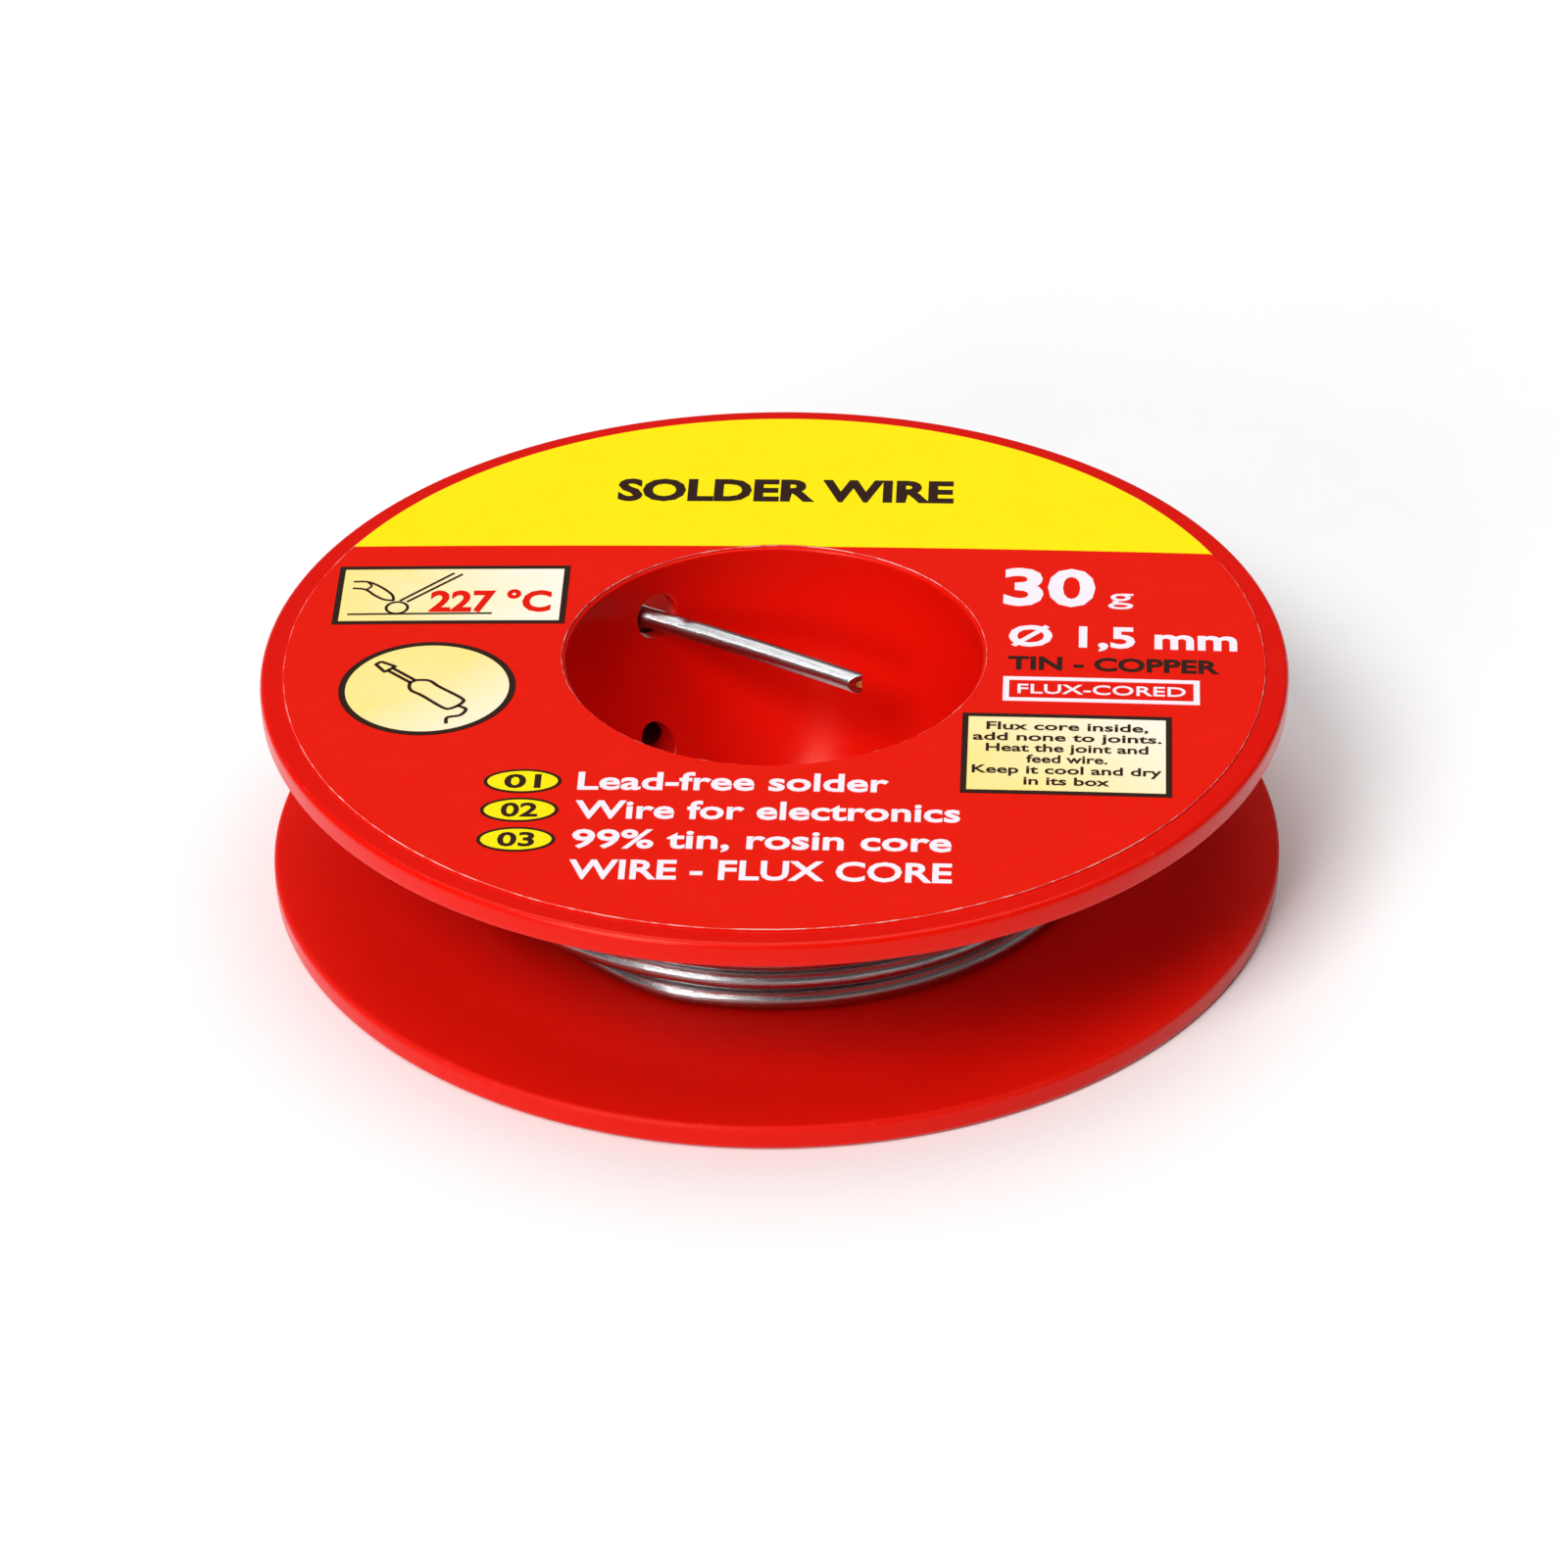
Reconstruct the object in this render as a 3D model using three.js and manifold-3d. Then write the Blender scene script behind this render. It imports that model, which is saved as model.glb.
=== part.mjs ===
// A small spool of flux-cored solder wire: a one-piece moulded spool with a ring label on its
// top face, and 1.5 mm wire wound in six layers. The start of the wire is poked through a hole
// in the hub and lies across the bore. Millimetres, +Z up, origin at the centre of the underside.

import * as THREE from 'three';
import { mergeVertices } from 'three/addons/utils/BufferGeometryUtils.js';
import Module from 'manifold-3d';

// ---- Spool moulding ----
const FLANGE_RADIUS = 35.5;
const SPOOL_HEIGHT = 16.1;
const FLANGE_THICKNESS = 1.8;
const RIM_ROUNDING = 0.4;
const BORE_RADIUS = 14.45;
const BORE_WIDEST_Z = 15.3;
const BORE_TAPER = 0.0245; // the bore narrows by this times the squared depth below its widest
const TOP_MOUTH_ROUNDING = 0.35;
const BOTTOM_MOUTH_ROUNDING = 0.3;
const HUB_WALL = 1.15;
const BOTTOM_FILLET = 2;
const TOP_FILLET = 1.6;
const WALL_STEPS = 5;
const ARC_STEPS = 2;
const LATHE_SEGMENTS = 64;

// ---- Wire holes through the hub: azimuth, height and radius ----
const UPPER_HOLE = [126, 12.3, 1.65];
const LOWER_HOLE = [138, 3.9, 1.5];
const HOLE_REACH = [7, 18]; // radii between which a hole is cut
const HOLE_SEGMENTS = 20;

// ---- Ring label ----
const LABEL_INNER_RADIUS = 14.85;
const LABEL_OUTER_RADIUS = 33.9;
const LABEL_THICKNESS = 0.2;

// ---- Wire ----
const WIRE_RADIUS = 0.75;
const SECTION_SIDES = 8;
const CORNER_FACTOR = 1.015; // corners stand out so the flats keep the wire's bulk
const SECTION_CORNER = WIRE_RADIUS * CORNER_FACTOR;
const CORE_RADIUS = 0.3;
const CORE_CHANNEL_RADIUS = 0.36;
const CORE_START = 0.6; // the core starts this far past the bend of a loose end
const PIECE_GAP = 0.15; // half the gap between two stretches of the wire
const CHISEL_ANGLE = 45;
const CUTTER_SIZE = 4;

// ---- Winding: angles in degrees, counted on through all turns. All of them are whole steps of
// a turn, so that the flats of neighbouring layers lie side by side ----
const LAYERS = 6;
const LEVELS = 4;
const OUTER_LEVELS = 3;
const TURN_PITCH = 1.5;
const LOWEST_TURN_Z = 2.85;
const FIRST_LAYER_RADIUS = 15.1;
const OUTER_LAYER_RADIUS = 22.5;
const LAYER_PITCH = (OUTER_LAYER_RADIUS - FIRST_LAYER_RADIUS) / (LAYERS - 1);
const WINDING_START = 270;
const SHIFT_SPAN = 60;
const CLIMB_SPAN = 30;
const UP_SHIFT_AZIMUTH = 180;
const DOWN_SHIFT_AZIMUTH = 285;
const TOP_CLIMB_AZIMUTH = 90;
const BOTTOM_CLIMB_AZIMUTH = 225;
const FREE_TIP_AZIMUTH = 90;
const FREE_END_SPAN = 60;
const STEPS_PER_TURN = 24;
const OUTER_STEPS_PER_TURN = 48;

// ---- Start tail across the bore, and the lead-in from the hole to the first layer ----
const TAIL_EXIT = new THREE.Vector3(-9.1, 11.5, 12.3);
const TAIL_TIP = new THREE.Vector3(5.8, 3.3, 12.0);
const TAIL_BEND_OFFSET = 0.9; // the tail bends this far inside the bore
const BEND_CLEARANCE = 1.05; // fixed wire stops this far short of a bend
const LEAD_IN_BEHIND_HOLE = 2.2;
const LEAD_IN_ROUTE = [
  // azimuth, radius, height
  [139, 17.8, 12.2],
  [149, 17.6, 12.0],
  [160, 17.0, 11.7],
  [175, 16.5, 11.0],
  [195, 16.1, 10.1],
  [215, 15.8, 9.2],
  [232, 15.38, 8.5],
  [244, 15.0, 7.98],
  [256, 15.0, 7.58],
  [265, 15.0, 7.39],
];
const LEAD_IN_CORNER = 0.7; // drawn a little thin where it is squeezed by the second layer
const LEAD_IN_STEPS = 36;
const TAIL_STEPS = 6;

const MERGE_DISTANCE = 1e-4;
const UP = new THREE.Vector3(0, 0, 1);
const RED_PLASTIC = { color: 0xd4160c, roughness: 0.32, metalness: 0 };
const LABEL_PAPER = { color: 0xe52012, roughness: 0.4, metalness: 0 };
const SOLDER_ALLOY = { color: 0xb9bcc0, roughness: 0.3, metalness: 1 };
const FLUX_ROSIN = { color: 0xd8a03c, roughness: 0.5, metalness: 0 };

const wasm = await Module();
wasm.setup();

// ---- Helpers ----

/** Closed manifold solid of a three.js geometry. */
function toSolid(geometry) {
  const bare = geometry.clone();
  bare.deleteAttribute('normal');
  bare.deleteAttribute('uv');
  const merged = mergeVertices(bare, MERGE_DISTANCE);
  return new wasm.Manifold(new wasm.Mesh({
    numProp: 3,
    vertProperties: new Float32Array(merged.attributes.position.array),
    triVerts: new Uint32Array(merged.index.array),
  }));
}

/** three.js geometry of a manifold solid. */
function toGeometry(solid) {
  const mesh = solid.getMesh();
  const geometry = new THREE.BufferGeometry();
  geometry.setAttribute('position', new THREE.BufferAttribute(mesh.vertProperties, 3));
  geometry.setIndex(new THREE.BufferAttribute(mesh.triVerts, 1));
  geometry.computeVertexNormals();
  return geometry;
}

/** Named mesh with a material of its own. */
function part(name, geometry, look) {
  const mesh = new THREE.Mesh(geometry, new THREE.MeshStandardMaterial(look));
  mesh.name = name;
  return mesh;
}

/** Points of an arc in the (radius, height) plane, angles in degrees. */
function arc(radius, height, size, from, to, steps = ARC_STEPS) {
  return Array.from({ length: steps + 1 }, (_, i) => {
    const angle = THREE.MathUtils.degToRad(THREE.MathUtils.lerp(from, to, i / steps));
    return new THREE.Vector2(radius + size * Math.cos(angle), height + size * Math.sin(angle));
  });
}

/** Solid of revolution about Z of a closed profile in the (radius, height) plane. */
function revolve(profile) {
  return new THREE.LatheGeometry([...profile, profile[0]], LATHE_SEGMENTS).rotateX(Math.PI / 2);
}

/** Point from an azimuth in degrees, a radius and a height. */
function cylindrical(azimuth, radius, height) {
  const angle = THREE.MathUtils.degToRad(azimuth);
  return new THREE.Vector3(radius * Math.cos(angle), radius * Math.sin(angle), height);
}

/** Round bar of a few flat sides along a curve. */
function bar(curve, radius, steps) {
  const section = new THREE.Shape(Array.from({ length: SECTION_SIDES }, (_, i) => {
    const angle = ((i + 0.5) * 2 * Math.PI) / SECTION_SIDES;
    return new THREE.Vector2(radius * Math.cos(angle), radius * Math.sin(angle));
  }));
  return new THREE.ExtrudeGeometry(section, { steps, bevelEnabled: false, extrudePath: curve });
}

// ---- Spool moulding ----

/** Radius of the bore at a height. */
function boreRadius(height) {
  return BORE_RADIUS - BORE_TAPER * (BORE_WIDEST_Z - height) ** 2;
}

/** Points of the hub's wall at evenly spaced heights, an offset outside the bore. */
function wall(from, to, offset) {
  return Array.from({ length: WALL_STEPS + 1 }, (_, i) => {
    const height = THREE.MathUtils.lerp(from, to, i / WALL_STEPS);
    return new THREE.Vector2(boreRadius(height) + offset, height);
  });
}

/** Rounded rim of a flange whose underside is at a height. */
function rim(height) {
  const radius = FLANGE_RADIUS - RIM_ROUNDING;
  return [
    ...arc(radius, height + RIM_ROUNDING, RIM_ROUNDING, -90, 0),
    ...arc(radius, height + FLANGE_THICKNESS - RIM_ROUNDING, RIM_ROUNDING, 0, 90),
  ];
}

/** Radial cylinder that cuts one wire hole. */
function holeCutter([azimuth, height, radius]) {
  const length = HOLE_REACH[1] - HOLE_REACH[0];
  const cutter = new THREE.CylinderGeometry(radius, radius, length, HOLE_SEGMENTS);
  cutter.rotateZ(Math.PI / 2);
  cutter.translate(HOLE_REACH[0] + length / 2, 0, height);
  return cutter.rotateZ(THREE.MathUtils.degToRad(azimuth));
}

function spoolBody() {
  const lowerFace = FLANGE_THICKNESS;
  const upperFace = SPOOL_HEIGHT - FLANGE_THICKNESS;
  const lowZ = lowerFace + BOTTOM_FILLET;
  const highZ = upperFace - TOP_FILLET;
  const lowFilletRadius = boreRadius(lowZ) + HUB_WALL + BOTTOM_FILLET;
  const highFilletRadius = boreRadius(highZ) + HUB_WALL + TOP_FILLET;
  const mouthRadius = boreRadius(BOTTOM_MOUTH_ROUNDING) + BOTTOM_MOUTH_ROUNDING;
  const topMouthRadius = BORE_RADIUS + TOP_MOUTH_ROUNDING;
  const topMouthZ = SPOOL_HEIGHT - TOP_MOUTH_ROUNDING;
  const profile = [
    ...arc(mouthRadius, BOTTOM_MOUTH_ROUNDING, BOTTOM_MOUTH_ROUNDING, 180, 270),
    ...rim(0),
    ...arc(lowFilletRadius, lowZ, BOTTOM_FILLET, 270, 180, ARC_STEPS + 1),
    ...wall(lowZ, highZ, HUB_WALL).slice(1, -1),
    ...arc(highFilletRadius, highZ, TOP_FILLET, 180, 90, ARC_STEPS + 1),
    ...rim(upperFace),
    ...arc(topMouthRadius, topMouthZ, TOP_MOUTH_ROUNDING, 90, 180),
    ...wall(BORE_WIDEST_Z, BOTTOM_MOUTH_ROUNDING, 0).slice(0, -1),
  ];
  return [UPPER_HOLE, LOWER_HOLE]
    .reduce((solid, hole) => solid.subtract(toSolid(holeCutter(hole))), toSolid(revolve(profile)));
}

// ---- Ring label ----

function ringLabel() {
  const top = SPOOL_HEIGHT + LABEL_THICKNESS;
  return revolve([
    new THREE.Vector2(LABEL_INNER_RADIUS, SPOOL_HEIGHT),
    new THREE.Vector2(LABEL_OUTER_RADIUS, SPOOL_HEIGHT),
    new THREE.Vector2(LABEL_OUTER_RADIUS, top),
    new THREE.Vector2(LABEL_INNER_RADIUS, top),
  ]);
}

// ---- Winding ----

/** First angle, not before a given one, that lies at an azimuth. */
function nextAt(azimuth, angle) {
  return azimuth + 360 * Math.ceil((angle - azimuth) / 360);
}

/**
 * Where the wire steps to the next level and climbs to the next layer. Layers wind down and up
 * in turn. A climb comes after the steps that clear its way and before those that fill it, so
 * no two turns ever share a place.
 */
function planWinding() {
  const shifts = [];
  const climbs = [];
  const layerStarts = [WINDING_START];
  let angle = WINDING_START;
  for (let layer = 0; layer < LAYERS; layer += 1) {
    const down = layer % 2 === 0;
    const outer = layer === LAYERS - 1;
    const steps = (outer ? OUTER_LEVELS : LEVELS) - 1;
    for (let step = 0; step < steps; step += 1) {
      angle = nextAt(down ? DOWN_SHIFT_AZIMUTH : UP_SHIFT_AZIMUTH, angle);
      shifts.push({ angle, levels: down ? -1 : 1 });
      angle += SHIFT_SPAN;
    }
    if (!outer) {
      angle = nextAt(down ? BOTTOM_CLIMB_AZIMUTH : TOP_CLIMB_AZIMUTH, angle);
      climbs.push(angle);
      angle += CLIMB_SPAN;
      layerStarts.push(angle);
    }
  }
  return { shifts, climbs, layerStarts, end: nextAt(FREE_TIP_AZIMUTH, angle) };
}

const PLAN = planWinding();

/** Stretch of the winding's centre line between two angles. */
class WindingCurve extends THREE.Curve {
  constructor(from, to) {
    super();
    this.from = from;
    this.to = to;
  }

  getPoint(t, target = new THREE.Vector3()) {
    const angle = THREE.MathUtils.lerp(this.from, this.to, t);
    const eased = (start, span) => THREE.MathUtils.smoothstep(angle, start, start + span);
    const climbed = PLAN.climbs.reduce((sum, start) => sum + eased(start, CLIMB_SPAN), 0);
    const level = PLAN.shifts.reduce(
      (sum, shift) => sum + shift.levels * eased(shift.angle, SHIFT_SPAN),
      LEVELS - 1,
    );
    const radius = FIRST_LAYER_RADIUS + LAYER_PITCH * climbed;
    return target.copy(cylindrical(angle, radius, LOWEST_TURN_Z + TURN_PITCH * level));
  }

  /** Steps are even in angle, so that those of neighbouring layers line up. */
  getSpacedPoints(divisions) {
    return this.getPoints(divisions);
  }
}

/** Angle that a length takes up on a radius, in degrees. */
function spanOf(length, radius) {
  return THREE.MathUtils.radToDeg(length / radius);
}

function windingLayers() {
  const freeBend = PLAN.end - FREE_END_SPAN;
  return PLAN.layerStarts.map((start, layer) => {
    const radius = FIRST_LAYER_RADIUS + LAYER_PITCH * layer;
    const outer = layer === LAYERS - 1;
    const from = start + spanOf(PIECE_GAP, radius);
    const to = outer
      ? freeBend - spanOf(BEND_CLEARANCE, radius)
      : PLAN.layerStarts[layer + 1] - spanOf(PIECE_GAP, radius);
    const perTurn = outer ? OUTER_STEPS_PER_TURN : STEPS_PER_TURN;
    const steps = Math.round(((to - from) / 360) * perTurn);
    const stretch = bar(new WindingCurve(from, to), SECTION_CORNER, steps);
    return part(`wire_layer_${layer + 1}`, stretch, SOLDER_ALLOY);
  });
}

// ---- Loose ends of the wire ----

/** Cuts the end of a bar to the chisel point that side cutters leave, its edge upright. */
function chiselEnd(solid, tip, tangent) {
  const side = new THREE.Vector3().crossVectors(tangent, UP).normalize();
  const angle = THREE.MathUtils.degToRad(CHISEL_ANGLE);
  return [-1, 1].reduce((rest, sign) => {
    const normal = tangent.clone().multiplyScalar(Math.cos(angle));
    normal.addScaledVector(side, sign * Math.sin(angle)).normalize();
    const turn = new THREE.Quaternion().setFromUnitVectors(new THREE.Vector3(1, 0, 0), normal);
    const cutter = new THREE.BoxGeometry(CUTTER_SIZE, CUTTER_SIZE, CUTTER_SIZE).applyQuaternion(turn);
    const centre = tip.clone().addScaledVector(normal, CUTTER_SIZE / 2);
    return rest.subtract(toSolid(cutter.translate(...centre)));
  }, solid);
}

/**
 * One loose end: the alloy sheath, with a ball where it bends so that it can turn there, and the
 * flux core in its channel. The core's curve runs on past the tip, so that the chisel cut trims
 * it flush with the sheath.
 */
function looseEnd(names, curve, coreCurve, steps) {
  const bend = curve.getPoint(0);
  const tip = curve.getPoint(1);
  const tangent = curve.getTangent(1);
  const ball = new THREE.SphereGeometry(WIRE_RADIUS, SECTION_SIDES * 2, SECTION_SIDES);
  const sheath = toSolid(bar(curve, SECTION_CORNER, steps))
    .add(toSolid(ball.translate(...bend)))
    .subtract(toSolid(bar(coreCurve, CORE_CHANNEL_RADIUS, steps)));
  const core = toSolid(bar(coreCurve, CORE_RADIUS, steps));
  return [
    part(names.sheath, toGeometry(chiselEnd(sheath, tip, tangent)), SOLDER_ALLOY),
    part(names.core, toGeometry(chiselEnd(core, tip, tangent)), FLUX_ROSIN),
  ];
}

const TAIL_DIRECTION = TAIL_TIP.clone().sub(TAIL_EXIT).normalize();
const TAIL_BEND = TAIL_EXIT.clone().addScaledVector(TAIL_DIRECTION, TAIL_BEND_OFFSET);

function tail() {
  const pastTip = TAIL_TIP.clone().addScaledVector(TAIL_DIRECTION, WIRE_RADIUS);
  const coreStart = TAIL_BEND.clone().addScaledVector(TAIL_DIRECTION, CORE_START);
  const names = { sheath: 'wire_tail', core: 'tail_flux_core' };
  return looseEnd(
    names,
    new THREE.LineCurve3(TAIL_BEND, TAIL_TIP),
    new THREE.LineCurve3(coreStart, pastTip),
    TAIL_STEPS,
  );
}

function freeEnd() {
  const bend = PLAN.end - FREE_END_SPAN;
  const coreStart = bend + spanOf(CORE_START, OUTER_LAYER_RADIUS);
  const pastTip = PLAN.end + spanOf(WIRE_RADIUS, OUTER_LAYER_RADIUS);
  const names = { sheath: 'wire_free_end', core: 'free_end_flux_core' };
  return looseEnd(
    names,
    new WindingCurve(bend, PLAN.end),
    new WindingCurve(coreStart, pastTip),
    Math.round((FREE_END_SPAN / 360) * OUTER_STEPS_PER_TURN),
  );
}

/** Wire from the hub's upper hole, round behind the hub and down to the first layer. */
function leadIn() {
  const start = TAIL_BEND.clone().addScaledVector(TAIL_DIRECTION, -BEND_CLEARANCE);
  const behindHole = TAIL_EXIT.clone().addScaledVector(TAIL_DIRECTION, -LEAD_IN_BEHIND_HOLE);
  const end = new WindingCurve(WINDING_START - spanOf(PIECE_GAP, FIRST_LAYER_RADIUS), WINDING_START);
  const route = LEAD_IN_ROUTE.map((stop) => cylindrical(...stop));
  const curve = new THREE.CatmullRomCurve3([start, behindHole, ...route, end.getPoint(0)]);
  return part('wire_lead_in', bar(curve, LEAD_IN_CORNER, LEAD_IN_STEPS), SOLDER_ALLOY);
}

const group = new THREE.Group();
group.name = 'solder_wire_spool';
group.add(part('spool_body', toGeometry(spoolBody()), RED_PLASTIC));
group.add(part('front_label', ringLabel(), LABEL_PAPER));
group.add(leadIn());
group.add(...windingLayers());
group.add(...tail());
group.add(...freeEnd());

export default group;
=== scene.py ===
"""A small spool of flux-cored solder wire: red moulded spool, printed ring label, tin-copper wire.

The pieces are worked out in millimetres and become metres when a mesh is filled. Angles along
the winding are in degrees and count on through all the turns.
"""

import math

import bmesh
import bpy
import numpy as np
from mathutils import Matrix, Vector


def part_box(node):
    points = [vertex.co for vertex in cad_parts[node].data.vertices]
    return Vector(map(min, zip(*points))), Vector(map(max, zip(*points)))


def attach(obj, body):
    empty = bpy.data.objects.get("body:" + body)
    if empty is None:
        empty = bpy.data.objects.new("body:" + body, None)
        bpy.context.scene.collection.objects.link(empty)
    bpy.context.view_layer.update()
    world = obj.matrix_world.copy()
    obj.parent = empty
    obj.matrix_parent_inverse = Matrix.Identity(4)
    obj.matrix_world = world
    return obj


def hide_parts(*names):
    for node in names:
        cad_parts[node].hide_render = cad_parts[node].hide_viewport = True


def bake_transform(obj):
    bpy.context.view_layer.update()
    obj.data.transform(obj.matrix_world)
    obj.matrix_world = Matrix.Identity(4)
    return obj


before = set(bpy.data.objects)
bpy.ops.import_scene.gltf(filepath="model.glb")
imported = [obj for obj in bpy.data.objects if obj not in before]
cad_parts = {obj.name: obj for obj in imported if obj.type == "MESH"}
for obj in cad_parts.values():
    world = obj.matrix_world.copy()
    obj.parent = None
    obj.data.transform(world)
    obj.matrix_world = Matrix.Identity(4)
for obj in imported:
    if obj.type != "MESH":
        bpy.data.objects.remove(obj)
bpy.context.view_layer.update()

bl_info = {
    "name": "Solder wire spool",
    "version": (1, 0, 0),
    "blender": (4, 5, 0),
    "location": "View3D > Sidebar > Spool",
    "description": "Makes a spool of solder wire, its label and its studio",
    "category": "Object",
}

MM = 0.001

# ---- Spool moulding ----
FLANGE_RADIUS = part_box("spool_body")[1].x / MM
SPOOL_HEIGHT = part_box("spool_body")[1].z / MM
FLANGE_THICKNESS = 1.8
FACE_DRAFT = 0.25  # the inner faces rise this much from the rim to the hub
RIM_ROUNDING = 0.4
BORE_RADIUS = 14.45
BORE_WIDEST_Z = 15.3
BORE_TAPER = 0.0245
TOP_MOUTH_ROUNDING = 0.2
BOTTOM_MOUTH_ROUNDING = 0.3
HUB_WALL = 1.15
BOTTOM_FILLET = 2.0
TOP_FILLET = 1.6
UPPER_HOLE = (126, 12.3, 1.65)  # azimuth, height and radius of each wire hole
LOWER_HOLE = (138, 3.9, 1.5)
HOLE_EDGE = 0.22

# ---- Label ----
LABEL_INNER = 14.7
LABEL_OUTER = 33.9
LABEL_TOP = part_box("front_label")[1].z / MM
PAPER_TOP = LABEL_TOP - 0.06
PRINT_TURN = math.radians(-2.6)  # the print sits a little turned on the spool
PRINT_BOW = -0.0012  # and a little bowed, in radians per millimetre
FIELD_CHORD = 14.4  # the yellow field starts this far up the print
TITLE_WIDTH = 24.0
TITLE_HEIGHT = 3.2
TITLE_BASELINE = 20.8
# bottom and top of each layer of print, from the paper's top
GROUND_SLAB = (-0.01, 0.017)
FIELD_SLAB = (0.005, 0.03)
FILL_SLAB = (0.008, 0.032)
LINE_SLAB = (0.02, 0.052)
PANEL_FRAME = 0.42
CAP_HEIGHT = 0.682  # capitals of the built-in lettering, as a share of its size

# ---- Wire ----
WIRE_RADIUS = 0.75
CORE_RADIUS = 0.3
LAYERS = 6
LEVELS = 4
OUTER_LEVELS = 3
TURN_PITCH = 1.5
LOWEST_TURN_Z = 2.85
FIRST_LAYER_RADIUS = 15.1
LAYER_PITCH = 1.48
WINDING_START = 270
SHIFT_SPAN = 60
CLIMB_SPAN = 30
UP_SHIFT_AZIMUTH = 180
DOWN_SHIFT_AZIMUTH = 285
TOP_CLIMB_AZIMUTH = 90
BOTTOM_CLIMB_AZIMUTH = 225
FREE_TIP_AZIMUTH = 90
FREE_END_SPAN = 60
BEND_CLEARANCE = 1.05
TAIL_EXIT = np.array([-9.1, 11.5, 12.3])
TAIL_TIP = np.array([5.8, 3.3, 12.0])
TAIL_SAG = np.array([0.35, -0.45, -0.3])  # the tail's tip lies this far off the straight line
SAG_START = 0.2  # share of the tail that stays straight
TAIL_BEND_OFFSET = 0.9
LEAD_IN_BEHIND_HOLE = 2.2
LEAD_IN_ROUTE = [
    (139, 17.8, 12.2),
    (149, 17.6, 12.0),
    (160, 17.0, 11.7),
    (175, 16.5, 11.0),
    (195, 16.1, 10.1),
    (215, 15.8, 9.2),
    (232, 15.38, 8.5),
    (244, 15.0, 7.98),
    (256, 15.0, 7.58),
    (265, 15.0, 7.39),
]
LEAD_IN_SPACING = 0.8
CORE_SHOWN = 2.0
CORE_PROUD = 0.012

# ---- Studio: directions and breadths in degrees ----
CAMERA_ELEVATION = 32.385
CAMERA_ROLL = -0.803
CAMERA_DISTANCE = 323.06
CAMERA_LENS = 105.71
CAMERA_SHIFT = (0.0055, -0.0214)
KEY_LIGHT = (230, 46, 26)  # azimuth, elevation and breadth of each light
LOW_LIGHT = (240, 15, 16)
TOP_LIGHT = (100, 80, 56)
FLOOR_HALF_WIDTH = 3.0  # metres


# ---- Surfaces on grids ----


def lattice(rows, cols, close_rows=False, close_cols=False):
    """Quads of a grid stored row by row; a closed direction joins its last line to its first."""
    row = np.arange(rows if close_rows else rows - 1)[:, None]
    col = np.arange(cols if close_cols else cols - 1)[None, :]
    next_row, next_col = (row + 1) % rows, (col + 1) % cols
    rounds = ((row, col), (next_row, col), (next_row, next_col), (row, next_col))
    return np.stack([r * cols + c + 0 * row + 0 * col for r, c in rounds], -1).reshape(-1, 4)


def capped(rows, cols):
    """Quads of a tube of closed rings with a face over each end."""
    ring = np.arange(cols)
    return [lattice(rows, cols, close_cols=True), [ring], [ring[::-1] + (rows - 1) * cols]]


def fill_mesh(name, points, faces, attributes=None):
    """Mesh from points in millimetres and a list of face arrays, one array per face size."""
    mesh = bpy.data.meshes.new(name)
    points = np.asarray(points, float).reshape(-1, 3)
    faces = [np.asarray(f) for f in faces if len(f)]
    corners = np.concatenate([f.ravel() for f in faces]).astype(np.int32)
    counts = np.concatenate([np.full(len(f), f.shape[1]) for f in faces])
    mesh.vertices.add(len(points))
    mesh.vertices.foreach_set("co", (points * MM).astype(np.float32).ravel())
    mesh.loops.add(len(corners))
    mesh.loops.foreach_set("vertex_index", corners)
    mesh.polygons.add(len(counts))
    mesh.polygons.foreach_set("loop_start", (np.cumsum(counts) - counts).astype(np.int32))
    mesh.update(calc_edges=True)
    for key, values in (attributes or {}).items():
        values = np.asarray(values, np.float32)
        flat = values.ndim == 1
        layer = mesh.attributes.new(key, "FLOAT" if flat else "FLOAT_VECTOR", "POINT")
        layer.data.foreach_set("value" if flat else "vector", values.ravel())
    return mesh


def weld(mesh, distance=2e-7):
    """Merges points that lie on each other and drops edges left without a face."""
    work = bmesh.new()
    work.from_mesh(mesh)
    bmesh.ops.remove_doubles(work, verts=work.verts, dist=distance)
    loose = [edge for edge in work.edges if not edge.link_faces]
    bmesh.ops.delete(work, geom=loose, context="EDGES")
    work.to_mesh(mesh)
    work.free()


def mesh_points(mesh):
    points = np.empty(len(mesh.vertices) * 3, np.float32)
    mesh.vertices.foreach_get("co", points)
    return points.reshape(-1, 3)


def evaluated(holder):
    """Mesh of an object with its modifiers applied or its lettering filled."""
    bpy.context.view_layer.update()
    return bpy.data.meshes.new_from_object(holder.evaluated_get(bpy.context.evaluated_depsgraph_get()))


def finish_piece(name, mesh, material, sharp_degrees=35):
    """Object of a finished mesh, smooth but for edges sharper than an angle."""
    mesh.polygons.foreach_set("use_smooth", np.ones(len(mesh.polygons), bool))
    mesh.set_sharp_from_angle(angle=math.radians(sharp_degrees))
    mesh.materials.clear()
    mesh.materials.append(material)
    piece = bpy.data.objects.new(name, mesh)
    bpy.context.scene.collection.objects.link(piece)
    return piece


def arc(radius, height, size, start, end, steps=8):
    """Points of an arc in the (radius, height) plane: centre + size * (cos a, sin a)."""
    angle = np.radians(np.linspace(start, end, steps + 1))
    return np.stack([radius + size * np.cos(angle), height + size * np.sin(angle)], -1)


def between(start, end, steps):
    """Points evenly between two points, without the two."""
    share = np.linspace(0, 1, steps + 1)[1:-1, None]
    return np.asarray(start) * (1 - share) + np.asarray(end) * share


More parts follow.
